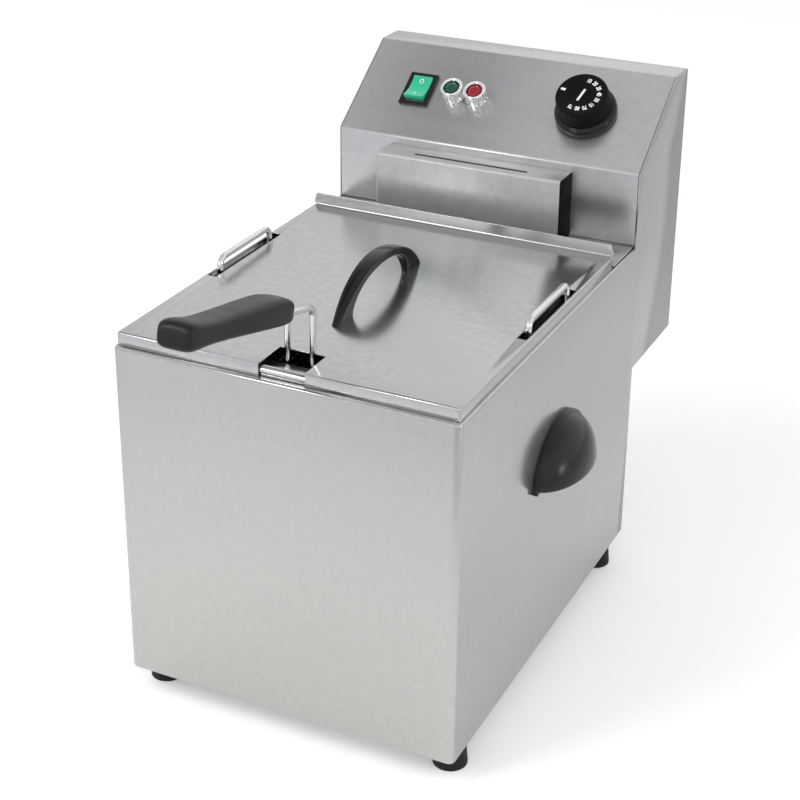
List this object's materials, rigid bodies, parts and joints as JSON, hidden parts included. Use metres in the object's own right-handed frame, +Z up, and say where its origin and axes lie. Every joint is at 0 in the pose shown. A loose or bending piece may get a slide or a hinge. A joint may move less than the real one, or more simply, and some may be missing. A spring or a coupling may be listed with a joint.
{
  "type": "countertop deep fryer",
  "caption": "Rectangular stainless countertop deep fryer with lift-out tank, wire basket, loose notched lid and a raised control head carrying knob, rocker switch and lamps.",
  "frame": {"origin": "centre of the overall bounding box in plan, at the level the feet stand on", "axes": "+Z up; +Y from the front, where the basket grip points, to the back of the control head; +X to the right of a person facing the back, so that it is the user's right"},
  "size_m": [0.324, 0.6, 0.4167],
  "materials": {
    "casing_steel": "brushed stainless sheet",
    "panel_steel": "plain stainless sheet",
    "control_steel": "brushed stainless sheet with a fine cross grain",
    "cover_steel": "stainless sheet with faint handling marks",
    "lid_steel": "smooth satin stainless sheet",
    "tank_steel": "bright drawn stainless",
    "foot_rubber": "matt black rubber",
    "screw_steel": "plated steel",
    "wire_chrome": "bright wire",
    "basket_wire": "plated wire mesh",
    "handle_plastic": "satin black moulded plastic",
    "end_plastic": "black",
    "element_sheath": "dull grey heating element sheath",
    "terminal_brass": "plated brass tab",
    "dark_plastic": "black moulded plastic",
    "bulb_copper": "drawn copper",
    "reset_red": "red button",
    "switch_black": "black switch bezel",
    "rocker_green": "clear green rocker",
    "lamp_chrome": "fluted chrome bezel",
    "lens_green": "green lens",
    "lens_red": "red lens",
    "pale_plastic": "pale moulded plastic",
    "gland_nylon": "black nylon",
    "knob_plastic": "black knob",
    "grip_plastic": "soft-sheen black grip",
    "bow_plastic": "glossy black bow handle"
  },
  "bodies": {
    "casing": {"casing_shell": "casing_steel", "rear_panel": "panel_steel", "base_plate": "panel_steel", "feet": "foot_rubber", "foot_screws": "screw_steel", "rear_panel_screws": "screw_steel", "side_handle_left": "handle_plastic", "side_handle_right": "handle_plastic", "side_handle_screws": "screw_steel"},
    "tank": {"oil_tank": "tank_steel", "tank_handle_left": "wire_chrome", "tank_handle_right": "wire_chrome"},
    "head": {"control_panel": "control_steel", "control_box": "panel_steel", "rear_deck": "casing_steel", "heater_cover": "cover_steel", "heater_cover_end": "end_plastic", "heating_element": "element_sheath", "element_straps": "tank_steel", "element_guard": "tank_steel", "element_terminals": "terminal_brass", "terminal_plate": "panel_steel", "bulb_clips": "tank_steel", "thermostat_body": "dark_plastic", "thermostat_bulb": "bulb_copper", "limit_thermostat": "dark_plastic", "limit_bulb": "bulb_copper", "switch_housing": "switch_black", "lamp_bezel_green": "lamp_chrome", "lamp_bezel_red": "lamp_chrome", "lamp_lens_green": "lens_green", "lamp_lens_red": "lens_red", "contactor": "pale_plastic", "terminal_block": "pale_plastic", "cable_gland": "gland_nylon", "control_box_screws": "screw_steel"},
    "thermostat_knob": {"thermostat_shaft": "wire_chrome", "knob": "knob_plastic"},
    "rocker": {"switch_rocker": "rocker_green"},
    "reset": {"reset_button": "reset_red"},
    "basket": {"basket_frame": "wire_chrome", "basket_mesh": "basket_wire", "basket_handle_wires": "wire_chrome", "basket_grip": "grip_plastic"},
    "lid": {"lid": "lid_steel", "lid_handle": "bow_plastic", "lid_handle_screws": "screw_steel"}
  },
  "joints": [
    {"name": "tank_lift", "type": "slide", "parent": "casing", "child": "tank", "axis": [0, 0, 1], "range_m": [0, 0.2]},
    {"name": "head_lift", "type": "slide", "parent": "tank", "child": "head", "axis": [0, 0, 1], "range_m": [0, 0.2]},
    {"name": "basket_lift", "type": "slide", "parent": "head", "child": "basket", "axis": [0, 0, 1], "range_m": [0, 0.16]},
    {"name": "lid_lift", "type": "slide", "parent": "basket", "child": "lid", "axis": [0, 0, 1], "range_m": [0, 0.12]},
    {"name": "thermostat_knob_turn", "type": "hinge", "parent": "head", "child": "thermostat_knob", "pos_m": [0.0729, 0.21299, 0.3825], "axis": [0, 0.584, -0.8117], "range_deg": [0, 270]},
    {"name": "rocker_switch_tilt", "type": "hinge", "parent": "head", "child": "rocker", "pos_m": [-0.07952, 0.21269, 0.38291], "axis": [1, 0, 0], "range_deg": [0, 20]},
    {"name": "reset_button_push", "type": "slide", "parent": "head", "child": "reset", "axis": [0, -1, 0], "range_m": [0, 0.002], "stiffness_N_per_m": 300, "springref_m": -0.001}
  ]
}
